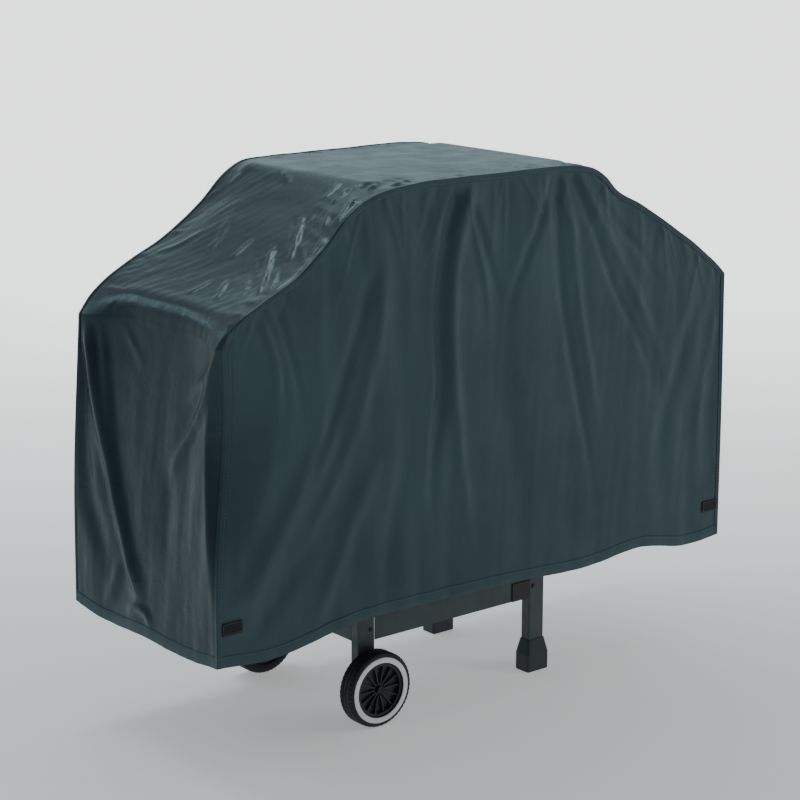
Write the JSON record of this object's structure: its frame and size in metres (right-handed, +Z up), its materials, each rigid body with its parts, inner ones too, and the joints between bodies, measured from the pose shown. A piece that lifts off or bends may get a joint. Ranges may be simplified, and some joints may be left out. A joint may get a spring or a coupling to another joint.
{
  "type": "grill cover on a wheeled grill cart",
  "caption": "Long fitted vinyl cover lying over a gas grill on a wheeled cart, with side shelves under it; the cover lifts off and its corner tabs peel open.",
  "frame": {"origin": "on the floor under the middle of the cover", "axes": "+X from end to end with the wheels at -X, -Y towards the front, +Z up"},
  "size_m": [1.529, 0.5778, 1.2575],
  "materials": {
    "cover_vinyl": "satin grained vinyl with a woven backing",
    "binding_tape": "folded vinyl seam tape",
    "hook_tape": "black hook and loop tape",
    "tyre_rubber": "dull moulded tread",
    "wheel_plastic": "dark moulded plastic",
    "whitewall": "white inset ring",
    "leg_paint": "dark satin powder coat",
    "boot_plastic": "dark moulded plastic",
    "plain_steel": "zinc plated",
    "valve_brass": "turned brass",
    "grill_enamel": "black heat proof enamel on cast aluminium",
    "handle_plastic": "black phenolic",
    "shelf_plastic": "grained resin board"
  },
  "bodies": {
    "cover": {"top_panel": "cover_vinyl", "front_panel": "cover_vinyl", "back_panel": "cover_vinyl", "front_seam_binding": "binding_tape", "back_seam_binding": "binding_tape", "hem_tape": "binding_tape", "front_left_patch": "hook_tape", "front_right_patch": "hook_tape", "rear_left_patch": "hook_tape", "rear_right_patch": "hook_tape"},
    "cart": {"front_left_leg": "leg_paint", "front_right_leg": "leg_paint", "rear_left_leg": "leg_paint", "rear_right_leg": "leg_paint", "front_boot": "boot_plastic", "rear_boot": "boot_plastic", "left_rail": "leg_paint", "right_rail": "leg_paint", "front_rail": "leg_paint", "rear_rail": "leg_paint", "bottom_shelf": "leg_paint", "front_corner_cap": "boot_plastic", "rear_corner_cap": "boot_plastic", "shelf_clips": "plain_steel", "leg_bolts": "plain_steel", "wheel_bolts": "plain_steel", "front_axle_spacer": "wheel_plastic", "rear_axle_spacer": "wheel_plastic", "front_axle_cap": "plain_steel", "rear_axle_cap": "plain_steel", "hood": "grill_enamel", "firebox": "grill_enamel", "hood_handle": "handle_plastic", "hood_hinges": "plain_steel", "control_panel": "leg_paint", "valves": "valve_brass", "left_shelf": "shelf_plastic", "right_shelf": "shelf_plastic", "front_left_brace": "leg_paint", "front_right_brace": "leg_paint", "rear_left_brace": "leg_paint", "rear_right_brace": "leg_paint"},
    "front_wheel": {"front_tyre": "tyre_rubber", "front_rim": "wheel_plastic", "front_whitewall": "whitewall"},
    "rear_wheel": {"rear_tyre": "tyre_rubber", "rear_rim": "wheel_plastic", "rear_whitewall": "whitewall"},
    "left_knob": {"left_knob": "handle_plastic"},
    "middle_knob": {"middle_knob": "handle_plastic"},
    "right_knob": {"right_knob": "handle_plastic"},
    "front_left_tab": {"front_left_tab": "hook_tape"},
    "front_right_tab": {"front_right_tab": "hook_tape"},
    "rear_left_tab": {"rear_left_tab": "hook_tape"},
    "rear_right_tab": {"rear_right_tab": "hook_tape"}
  },
  "joints": [
    {"name": "cover_lift", "type": "slide", "parent": "cart", "child": "cover", "axis": [0, 0, 1], "range_m": [0, 1.05]},
    {"name": "front_wheel_spin", "type": "hinge", "parent": "cart", "child": "front_wheel", "pos_m": [-0.273, -0.206, 0.0889], "axis": [0, 1, 0], "continuous": true},
    {"name": "rear_wheel_spin", "type": "hinge", "parent": "cart", "child": "rear_wheel", "pos_m": [-0.273, 0.25, 0.0889], "axis": [0, 1, 0], "continuous": true},
    {"name": "left_knob_turn", "type": "hinge", "parent": "cart", "child": "left_knob", "pos_m": [-0.18, -0.256, 0.9075], "axis": [0, -1, 0], "range_deg": [0, 180]},
    {"name": "middle_knob_turn", "type": "hinge", "parent": "cart", "child": "middle_knob", "pos_m": [-0.01, -0.256, 0.9075], "axis": [0, -1, 0], "range_deg": [0, 180]},
    {"name": "right_knob_turn", "type": "hinge", "parent": "cart", "child": "right_knob", "pos_m": [0.16, -0.256, 0.9075], "axis": [0, -1, 0], "range_deg": [0, 180]},
    {"name": "front_left_tab_peel", "type": "hinge", "parent": "cover", "child": "front_left_tab", "pos_m": [-0.74868, -0.2881, 0.357], "axis": [0, 0, -1], "range_deg": [0, 150]},
    {"name": "front_right_tab_peel", "type": "hinge", "parent": "cover", "child": "front_right_tab", "pos_m": [0.75452, -0.2881, 0.357], "axis": [0, 0, 1], "range_deg": [0, 150]},
    {"name": "rear_left_tab_peel", "type": "hinge", "parent": "cover", "child": "rear_left_tab", "pos_m": [-0.74868, 0.2881, 0.357], "axis": [0, 0, 1], "range_deg": [0, 150]},
    {"name": "rear_right_tab_peel", "type": "hinge", "parent": "cover", "child": "rear_right_tab", "pos_m": [0.75452, 0.2881, 0.357], "axis": [0, 0, -1], "range_deg": [0, 150]}
  ]
}
